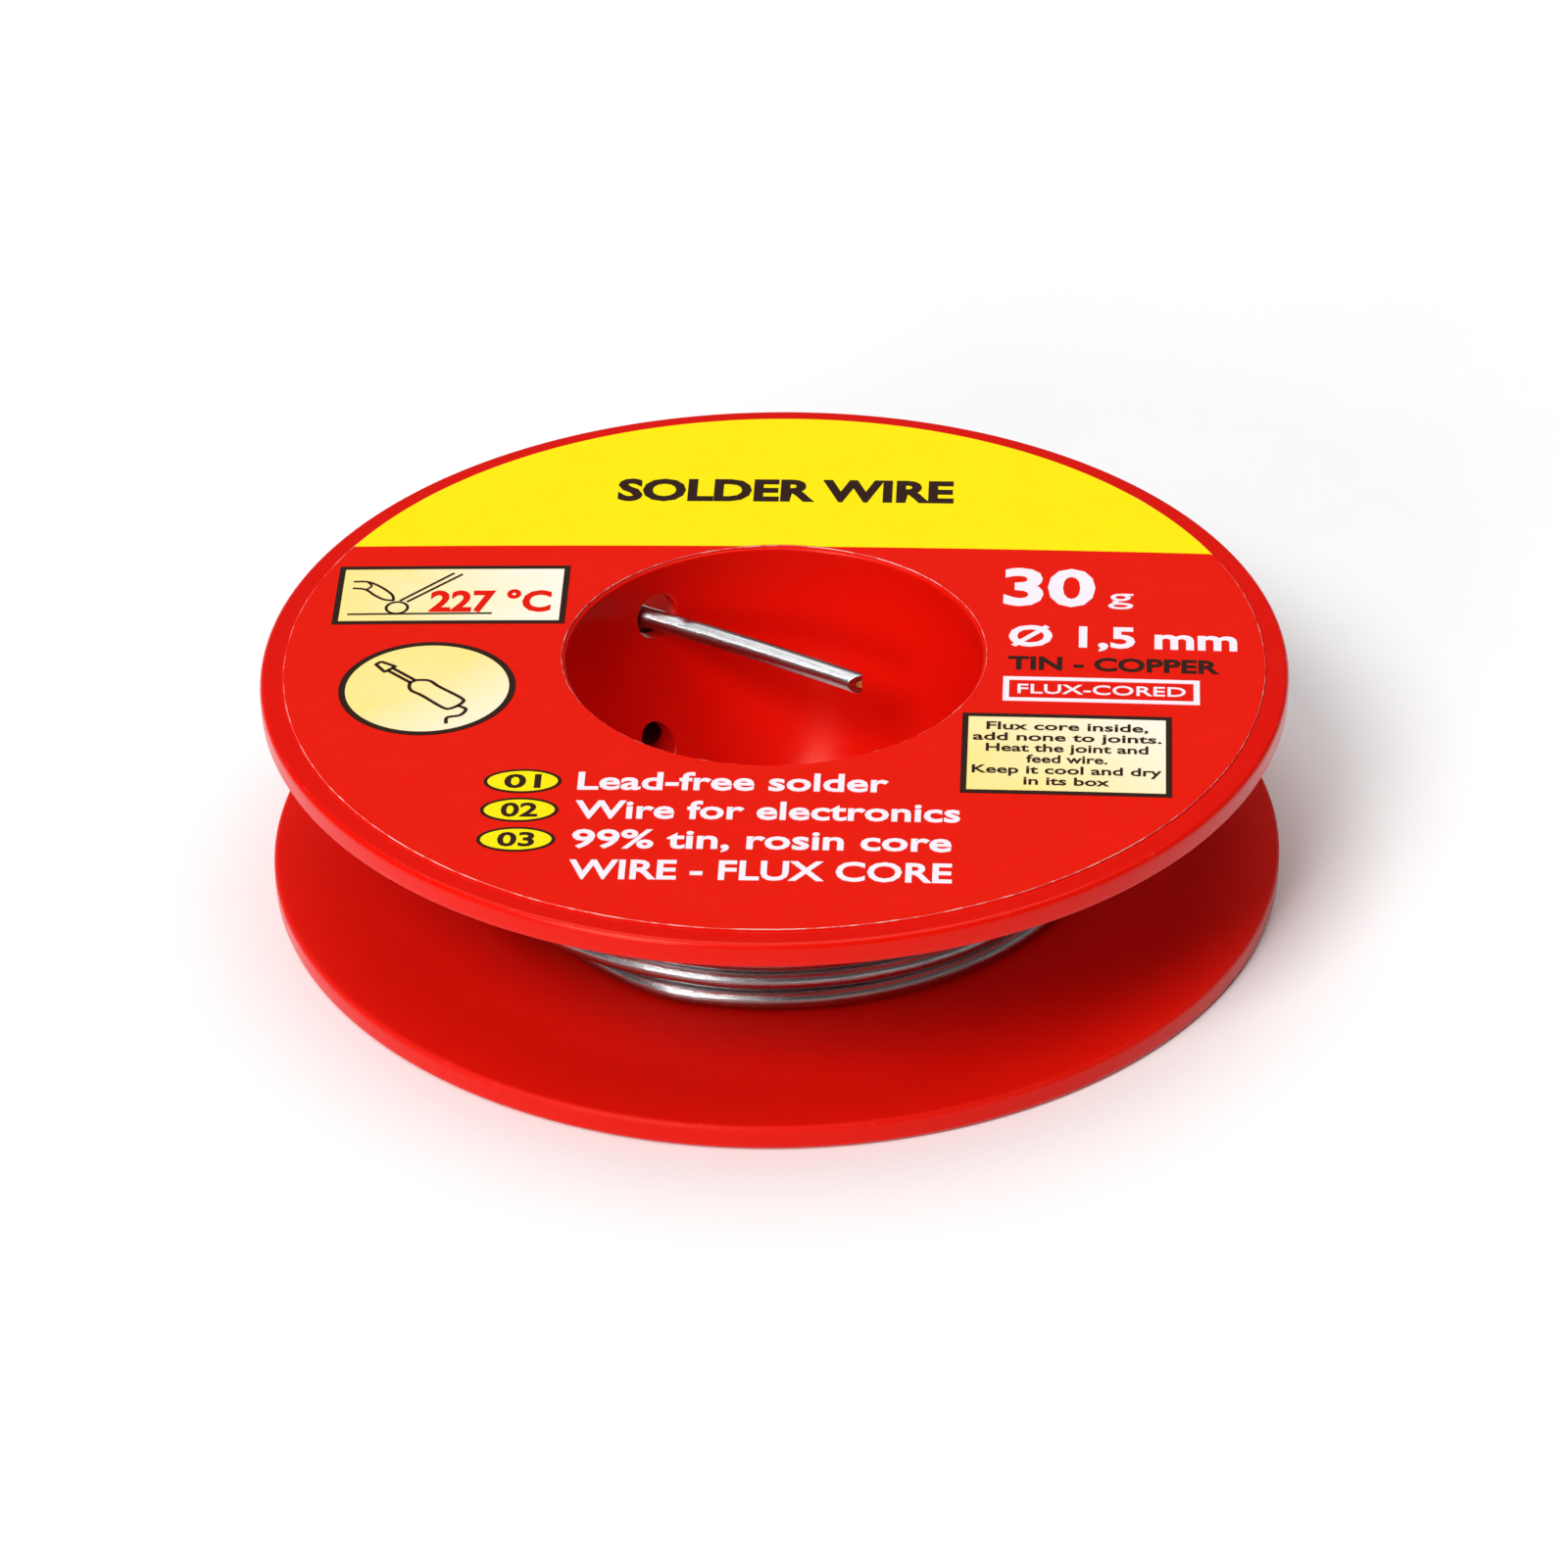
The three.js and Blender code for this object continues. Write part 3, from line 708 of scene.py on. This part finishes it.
def make_lettering(white, dark, red, cream, cream_far, yellow):
    """Panels, pictograms and words of the label, one piece to each ink."""
    creams, ovals = [Ink(*print_slab(FILL_SLAB)) for _ in range(2)]
    darks, whites, reds = [Ink(*print_slab(LINE_SLAB)) for _ in range(3)]

    # heat panel: a wire meets an iron's tip at a drop on the work, and the melting point
    left, low, right, high = panel = (-31.0, 3.55, -14.75, 11.5)
    creams.patch(rectangle(*panel, 0.1), lambda z: (z.real - left - 3) / (right - left - 5))
    darks.band(rectangle(*panel, PANEL_FRAME), rectangle(*panel))
    darks.stroke(path(-30.0 + 4.9j, -19.9 + 4.95j), 0.21)
    darks.stroke(circle(-26.6 + 5.75j, 0.75, 40, 1.05), 0.21, closed=True)
    darks.stroke(path(-26.45 + 6.7j, -22.9 + 10.5j), 0.21)
    darks.stroke(path(-25.95 + 6.55j, -22.3 + 10.35j), 0.21)
    for shape in (curve(-29.9 + 9.4j, -28.9 + 9.35j, -28.0 + 8.7j, -27.1 + 7.6j, -26.9 + 6.75j),
                  curve(-29.9 + 8.5j, -29.0 + 8.3j, -28.3 + 7.5j, -27.6 + 6.9j, -26.9 + 6.75j)):
        darks.stroke(shape, 0.21)
    darks.stroke(curve(-28.9 + 9.35j, -28.6 + 8.8j, -28.9 + 8.3j), 0.17)
    reds.words("227 °C", -24.35, 5.15, 8.5, 2.9, 0.035)

    # round badge: a soldering iron lying aslant
    centre = -23.7 - 5.05j
    creams.patch(circle(centre, 6.0), lambda z: ((z - centre).real - (z - centre).imag + 2) / 14)
    darks.band(circle(centre, 5.65), circle(centre, 6.1))
    turn = np.exp(-0.77j)
    iron = -27.3 - 1.7j
    for shape in (
        path(0.0 + 0.25j, 1.2 + 0.5j, 1.2 - 0.5j, 0.0 - 0.25j, 0.0 + 0.25j),
        path(1.2 + 0.22j, 3.6 + 0.22j), path(1.2 - 0.22j, 3.6 - 0.22j),
        curve(3.6 + 0.3j, 4.3 + 0.85j, 5.4 + 0.8j, 7.6 + 0.85j, 8.1 + 0.5j, 8.1 - 0.5j, 7.6 - 0.85j,
                    5.4 - 0.8j, 4.3 - 0.85j, 3.6 - 0.3j, 3.6 + 0.3j),
        curve(8.1 + 0.0j, 8.9 + 0.1j, 9.2 - 0.7j, 8.8 - 1.5j, 9.3 - 2.1j),
    ):
        darks.stroke(iron + shape * turn, 0.26)

    # size block
    whites.words("30", 15.75, 6.6, 6.4, 5.1, 0.03)
    whites.words("g", 23.05, 7.1, 1.75, 2.1, 0.0)
    whites.words("Ø 1,5 mm", 16.2, 1.1, 15.75, 2.8, 0.025)
    darks.words("TIN - COPPER", 16.2, -2.0, 14.5, 1.75, 0.03)
    box = (15.9, -6.1, 29.35, -2.95)
    whites.band(rectangle(*box, PANEL_FRAME), rectangle(*box))
    whites.words("FLUX-CORED", 16.9, -5.1, 11.5, 1.2, 0.01)

    # notes panel
    left, low, right, high = panel = (13.2, -17.9, 27.45, -7.8)

    def paler_to_the_top_right(z):
        return (z.real - left) / (right - left) * 0.8 + (z.imag - low) / (high - low) * 0.5 - 0.25

    creams.patch(rectangle(*panel, 0.1), paler_to_the_top_right)
    darks.band(rectangle(*panel, PANEL_FRAME), rectangle(*panel))
    notes = [("Flux core inside,", 11.0), ("add none to joints.", 12.8), ("Heat the joint and", 11.0),
             ("feed wire.", 5.5), ("Keep it cool and dry", 12.8), ("in its box", 5.8)]
    for row, (words, width) in enumerate(notes):
        darks.words(words, 20.35 - width / 2, -9.85 - 1.38 * row, width, 1.0, 0.02)

    # three numbered ovals, and the words beside them
    lines = [("Lead-free solder", -18.05, 21.0, 2.2), ("Wire for electronics", -21.6, 25.9, 2.2),
             ("99% tin, rosin core", -25.2, 25.4, 2.25), ("WIRE - FLUX CORE", -28.9, 25.5, 2.3)]
    for row, (words, baseline, width, height) in enumerate(lines):
        whites.words(words, -12.6, baseline, width, height, 0.022)
        if row < 3:
            spot = -16.35 + 1j * (baseline + 1.05)
            ovals.patch(circle(spot, 2.55, 48, 0.55), None)
            darks.band(circle(spot, 2.4, 48, 0.53), circle(spot, 2.65, 48, 0.56))
            darks.words(f"0{row + 1}", spot.real - 1.25, spot.imag - 0.85, 2.5, 1.7, 0.025)

    # plain title in the middle of the yellow field
    darks.words("SOLDER WIRE", -TITLE_WIDTH / 2, TITLE_BASELINE, TITLE_WIDTH, TITLE_HEIGHT, 0.04)

    creams.piece("cream_print", paper_ink("cream_ink", cream, cream_far))
    ovals.piece("oval_print", paper_ink("oval_ink", yellow))
    darks.piece("dark_print", paper_ink("dark_ink", dark))
    whites.piece("white_print", paper_ink("white_ink", white))
    reds.piece("red_lettering", paper_ink("red_letter_ink", red))


# ---- Wire ----


def plan_winding():
    """
    Angles where the wire steps to the next level and climbs to the next layer. Layers wind down
    and up in turn, and the last one stops one level short.
    """
    def next_at(azimuth, angle):
        return azimuth + 360 * math.ceil((angle - azimuth) / 360)

    shifts, climbs, angle = [], [], WINDING_START
    for layer in range(LAYERS):
        down, outer = layer % 2 == 0, layer == LAYERS - 1
        for _ in range((OUTER_LEVELS if outer else LEVELS) - 1):
            angle = next_at(DOWN_SHIFT_AZIMUTH if down else UP_SHIFT_AZIMUTH, angle)
            shifts.append((angle, -1 if down else 1))
            angle += SHIFT_SPAN
        if not outer:
            angle = next_at(BOTTOM_CLIMB_AZIMUTH if down else TOP_CLIMB_AZIMUTH, angle)
            climbs.append(angle)
            angle += CLIMB_SPAN
    return shifts, climbs, next_at(FREE_TIP_AZIMUTH, angle)


SHIFTS, CLIMBS, WINDING_END = plan_winding()
OUTER_LAYER_RADIUS = FIRST_LAYER_RADIUS + LAYER_PITCH * (LAYERS - 1)
FREE_BEND = WINDING_END - FREE_END_SPAN


def winding(angle, slack=0.0):
    """
    Centre line of the winding at angles: radius = first + pitch * sum of eased climbs, height =
    lowest + pitch * (levels - 1 + sum of eased shifts), plus a seeded wander of up to slack.
    """
    angle = np.asarray(angle, float)
    climbed = sum(smoothstep((angle - start) / CLIMB_SPAN) for start in CLIMBS)
    level = LEVELS - 1 + sum(way * smoothstep((angle - start) / SHIFT_SPAN) for start, way in SHIFTS)
    radius = FIRST_LAYER_RADIUS + LAYER_PITCH * climbed + slack * wander(angle, 11, 7, 190)
    height = LOWEST_TURN_Z + TURN_PITCH * level + slack * wander(angle, 12, 7, 240)
    turn = np.radians(angle)
    return np.stack([radius * np.cos(turn), radius * np.sin(turn), height], -1)


def wire_along(line, radius, sides, chisel=False, proud=0.0, begin=0.0):
    """
    Round bar along a line: centre + radius * (cos a * side + sin a * up), where side is the
    tangent crossed with +Z and up is side crossed with the tangent. A chisel end keeps the side
    offset within the distance to the tip, so the wire narrows to an upright edge.
    """
    tangent = np.gradient(line, axis=0)
    tangent /= np.linalg.norm(tangent, axis=1, keepdims=True)
    side = np.cross(tangent, [0, 0, 1.0])
    side /= np.linalg.norm(side, axis=1, keepdims=True)
    up = np.cross(side, tangent)
    length = lengths_along(line)
    angle = np.linspace(0, 2 * np.pi, sides, endpoint=False)[None, :]
    aside = radius * np.cos(angle) + 0 * length[:, None]
    rise = radius * np.sin(angle) + 0 * length[:, None]
    if chisel:
        left = (length[-1] - length)[:, None] + proud
        aside = np.clip(aside, -left, left)
    points = line[:, None] + aside[..., None] * side[:, None] + rise[..., None] * up[:, None]
    place = np.stack([begin + length[:, None] + 0 * aside, aside, rise], -1).reshape(-1, 3)
    return points, capped(len(line), sides), place


def dense_tip(line, reach=2.0, spacing=0.05):
    """The line with its last stretch taken in short steps, for a clean chisel end."""
    length = lengths_along(line)
    start = length[-1] - reach
    tip = np.linspace(start, length[-1], int(reach / spacing) + 1)
    return points_at(line, np.concatenate([length[length < start - spacing], tip]))


def wire_piece(name, built, material, sharp_degrees=30):
    points, faces, place = built
    mesh = fill_mesh(name, points, faces, {"wire_place": place})
    weld(mesh, 1e-6)
    return finish_piece(name, mesh, material, sharp_degrees)


def tail_line():
    """Direction of the start tail, and the point where it bends."""
    direction = (TAIL_TIP - TAIL_EXIT) / np.linalg.norm(TAIL_TIP - TAIL_EXIT)
    return direction, TAIL_EXIT + TAIL_BEND_OFFSET * direction


def lead_in_line():
    """Line from the tail's bend out through the hub's upper hole and down to the first layer."""
    direction, bend = tail_line()
    azimuth, radius, height = np.array(LEAD_IN_ROUTE, float).T
    turn = np.radians(azimuth)
    route = np.stack([radius * np.cos(turn), radius * np.sin(turn), height], -1)
    start = [bend - BEND_CLEARANCE * direction, TAIL_EXIT - LEAD_IN_BEHIND_HOLE * direction]
    line = spline(np.concatenate([start, route, winding([WINDING_START])]), 24)
    whole = lengths_along(line)[-1]
    return points_at(line, np.linspace(0, whole, int(round(whole / LEAD_IN_SPACING)) + 1))


def make_winding(material, sides, rings_per_turn, slack):
    """All the wound wire in one run, from inside the hub's upper hole to the free end's bend."""
    end = FREE_BEND - math.degrees(BEND_CLEARANCE / OUTER_LAYER_RADIUS)
    count = int((end - WINDING_START) / 360 * rings_per_turn)
    angles = np.linspace(WINDING_START, end, count + 1)[1:]
    fade = smoothstep((angles - WINDING_START) / 40) * smoothstep((end - angles) / 40)
    straight, loose = winding(angles), winding(angles, slack)
    wound = straight + (loose - straight) * fade[:, None]
    line = np.concatenate([lead_in_line(), wound])
    piece = wire_piece("wound_wire", wire_along(line, WIRE_RADIUS, sides), material)
    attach(piece, "spool")
    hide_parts("wire_lead_in", *[f"wire_layer_{layer + 1}" for layer in range(LAYERS)])


def nicked(points, at, size):
    """Points with a small dent pressed into the top of the wire near a place."""
    gap = points - at
    near = np.exp(-(gap ** 2).sum(-1) / (2 * size ** 2))
    return points - near[..., None] * np.array([0, 0, 0.12])


def make_loose_ends(material, rosin, sides):
    """The start tail across the bore and the wire's free end, each from just short of its bend point, and
    their flux cores.
    """
    direction, bend = tail_line()
    run = np.linalg.norm(TAIL_TIP - bend) + BEND_CLEARANCE
    share = np.linspace(0, 1, 60)[:, None]
    straight = (bend - BEND_CLEARANCE * direction) + share * run * direction
    sag = 2 * smoothstep((share - SAG_START) / (2 * (1 - SAG_START)))
    tail = dense_tip(straight + sag * TAIL_SAG)
    points, faces, place = wire_along(tail, WIRE_RADIUS, sides, chisel=True)
    points = nicked(points, TAIL_EXIT + direction * 3.2 + [0, 0, WIRE_RADIUS], 0.3)
    piece = wire_piece("tail_wire", (points, faces, place), material)
    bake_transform(piece)
    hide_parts("wire_tail")

    start = FREE_BEND - math.degrees(BEND_CLEARANCE / OUTER_LAYER_RADIUS)
    free = dense_tip(winding(np.linspace(start, WINDING_END, 90)))
    piece = wire_piece("free_end_wire", wire_along(free, WIRE_RADIUS, sides, chisel=True), material)
    turn, pivot = math.radians(FREE_BEND), winding([FREE_BEND])[0]
    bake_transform(piece)
    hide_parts("wire_free_end")

    for name, line, body, node in (("tail_flux", tail, "tail", "tail_flux_core"),
                                   ("free_end_flux", free, "free_end", "free_end_flux_core")):
        length = lengths_along(line)
        core = line[length > length[-1] - CORE_SHOWN]
        piece = wire_piece(name, wire_along(core, CORE_RADIUS, 20, chisel=True, proud=CORE_PROUD), rosin)
        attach(piece, body)
        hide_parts(node)


# ---- Studio ----


def aim(location, target, roll=0.0):
    """Rotation that looks from a location to a target, rolled by degrees."""
    back = (Vector(location) - Vector(target)).normalized()
    turned = (-back).to_track_quat("-Z", "Y").to_matrix().to_4x4()
    return Matrix.Translation(location) @ turned @ Matrix.Rotation(math.radians(roll), 4, "Z")


def make_camera():
    elevation = math.radians(CAMERA_ELEVATION)
    height = (SPOOL_HEIGHT + LABEL_TOP) / 4  # half way up the spool and its label
    target = Vector((0, 0, height * MM))
    back = Vector((0, -math.cos(elevation), math.sin(elevation)))
    data = bpy.data.cameras.new("camera")
    data.sensor_width, data.lens = 36, CAMERA_LENS
    data.shift_x, data.shift_y = CAMERA_SHIFT
    data.clip_start, data.clip_end = 0.01, 20
    camera = bpy.data.objects.new("camera", data)
    camera.matrix_world = aim(target + back * CAMERA_DISTANCE * MM, target, CAMERA_ROLL)
    bpy.context.scene.collection.objects.link(camera)
    bpy.context.scene.camera = camera


def broad_light(name, place_and_breadth, strength):
    """Far light from an azimuth and elevation, as broad as a part of the sky."""
    azimuth, elevation, breadth = place_and_breadth
    light = bpy.data.lights.new(name, "SUN")
    light.energy, light.angle = strength, math.radians(breadth)
    turn, rise = math.radians(azimuth), math.radians(elevation)
    place = Vector((math.cos(turn) * math.cos(rise), math.sin(turn) * math.cos(rise), math.sin(rise)))
    lamp = bpy.data.objects.new(name, light)
    lamp.matrix_world = aim(place, (0, 0, 0))
    bpy.context.scene.collection.objects.link(lamp)


def make_studio(floor_colour, key, low, top, surround):
    corners = np.array([[-1, -1, 0], [1, -1, 0], [1, 1, 0], [-1, 1, 0]]) * FLOOR_HALF_WIDTH / MM
    corners[:, 2] = -0.02
    mesh = fill_mesh("floor", corners, [[[0, 1, 2, 3]]])
    floor = finish_piece("floor", mesh, studio_floor(floor_colour))
    broad_light("key_light", KEY_LIGHT, key)
    broad_light("low_light", LOW_LIGHT, low)
    broad_light("top_light", TOP_LIGHT, top)
    world = bpy.data.worlds.new("studio")
    world.use_nodes = True
    background = world.node_tree.nodes["Background"]
    background.inputs["Color"].default_value = (1, 1, 1, 1)
    background.inputs["Strength"].default_value = surround
    bpy.context.scene.world = world
    bpy.context.scene.view_settings.view_transform = "Standard"


# ---- Settings, operators and panel ----


def colour_property(name, description, default):
    return bpy.props.FloatVectorProperty(name=name, description=description, default=default,
                                         subtype="COLOR", min=0, max=1)


def strength_property(name, description, default):
    return bpy.props.FloatProperty(name=name, description=description, default=default, min=0)


class SpoolSettings(bpy.types.PropertyGroup):
    plastic: colour_property("Plastic", "Colour of the moulded spool", (0.72, 0.005, 0.001))
    grain: bpy.props.FloatProperty(name="Grain", description="Depth of the moulding's fine grain",
                                   default=0.000012, unit="LENGTH", precision=6)
    segments: bpy.props.IntProperty(name="Segments", description="Steps round the spool", default=288, min=32)


class LabelSettings(bpy.types.PropertyGroup):
    paper: colour_property("Paper", "Colour of the label's bare paper", (0.86, 0.84, 0.8))
    red: colour_property("Red", "Colour of the label's ground", (0.78, 0.008, 0.001))
    yellow: colour_property("Yellow", "Colour of the field and the ovals", (1.0, 0.81, 0.004))
    cream: colour_property("Cream", "Colour of the panels on their dark side", (0.98, 0.8, 0.26))
    cream_far: colour_property("Pale cream", "Colour of the panels on their pale side", (0.97, 0.92, 0.8))
    white: colour_property("White", "Colour of the white print", (0.92, 0.85, 0.92))
    dark: colour_property("Dark", "Colour of the dark print", (0.028, 0.012, 0.008))


class WireSettings(bpy.types.PropertyGroup):
    alloy: colour_property("Alloy", "Colour of the wire", (0.56, 0.56, 0.57))
    sides: bpy.props.IntProperty(name="Sides", description="Steps round the wire", default=20, min=8)
    rings: bpy.props.IntProperty(name="Rings", description="Steps round one turn", default=110, min=24)
    slack: bpy.props.FloatProperty(name="Slack", description="How far a turn wanders, in millimetres",
                                   default=0.07, min=0, max=0.3)


class StageSettings(bpy.types.PropertyGroup):
    floor: colour_property("Floor", "Colour of the floor", (0.93, 0.93, 0.93))
    key: strength_property("Key", "Strength of the light from the left", 2.1)
    low: strength_property("Low", "Strength of the low light from the front", 0.85)
    top: strength_property("Top", "Strength of the light from above", 1.5)
    surround: strength_property("Surround", "Strength of the light all round", 0.1)


class SPOOL_OT_moulding(bpy.types.Operator):
    """Make the one-piece moulded spool with its two wire holes"""

    bl_idname = "spool.moulding"
    bl_label = "Moulding"

    def execute(self, context):
        settings = context.scene.spool_settings
        make_moulding(tuple(settings.plastic), settings.grain, settings.segments)
        return {"FINISHED"}


class SPOOL_OT_label(bpy.types.Operator):
    """Make the ring label's paper with its red and yellow grounds"""

    bl_idname = "spool.label"
    bl_label = "Ring label"

    def execute(self, context):
        settings = context.scene.label_settings
        make_label(tuple(settings.paper), tuple(settings.red), tuple(settings.yellow))
        return {"FINISHED"}


class SPOOL_OT_lettering(bpy.types.Operator):
    """Make the label's panels, pictograms and words"""

    bl_idname = "spool.lettering"
    bl_label = "Lettering"

    def execute(self, context):
        settings = context.scene.label_settings
        make_lettering(*[tuple(getattr(settings, ink)) for ink in
                         ("white", "dark", "red", "cream", "cream_far", "yellow")])
        return {"FINISHED"}


class SPOOL_OT_wire(bpy.types.Operator):
    """Make the wound wire, its start tail and its free end"""

    bl_idname = "spool.wire"
    bl_label = "Wire"

    def execute(self, context):
        settings = context.scene.wire_settings
        alloy = solder_alloy(tuple(settings.alloy))
        make_winding(alloy, settings.sides, settings.rings, settings.slack)
        make_loose_ends(alloy, flux_rosin(), 2 * settings.sides)
        return {"FINISHED"}


class SPOOL_OT_stage(bpy.types.Operator):
    """Make the floor, the lights and the camera"""

    bl_idname = "spool.stage"
    bl_label = "Studio"

    def execute(self, context):
        settings = context.scene.stage_settings
        make_studio(tuple(settings.floor), settings.key, settings.low, settings.top,
                    settings.surround)
        make_camera()
        return {"FINISHED"}


class SPOOL_PT_sidebar(bpy.types.Panel):
    """Lists the spool's pieces in the 3D view's sidebar"""

    bl_label = "Solder wire spool"
    bl_space_type = "VIEW_3D"
    bl_region_type = "UI"
    bl_category = "Spool"

    def draw(self, context):
        for operator in OPERATORS:
            self.layout.operator(operator.bl_idname)
        for group in GROUPS:
            settings = getattr(context.scene, group)
            for name in settings.__annotations__:
                self.layout.prop(settings, name)


OPERATORS = (SPOOL_OT_stage, SPOOL_OT_moulding, SPOOL_OT_label, SPOOL_OT_lettering, SPOOL_OT_wire)
GROUPS = {"spool_settings": SpoolSettings, "label_settings": LabelSettings,
          "wire_settings": WireSettings, "stage_settings": StageSettings}


def register():
    for cls in (*GROUPS.values(), *OPERATORS, SPOOL_PT_sidebar):
        bpy.utils.register_class(cls)
    for name, group in GROUPS.items():
        setattr(bpy.types.Scene, name, bpy.props.PointerProperty(type=group))


def unregister():
    for name in GROUPS:
        delattr(bpy.types.Scene, name)
    for cls in reversed((*GROUPS.values(), *OPERATORS, SPOOL_PT_sidebar)):
        bpy.utils.unregister_class(cls)


def main():
    register()
    bpy.ops.spool.stage()
    bpy.ops.spool.moulding()
    bpy.ops.spool.label()
    bpy.ops.spool.lettering()
    bpy.ops.spool.wire()
    bpy.context.view_layer.update()


if __name__ == "__main__":
    main()
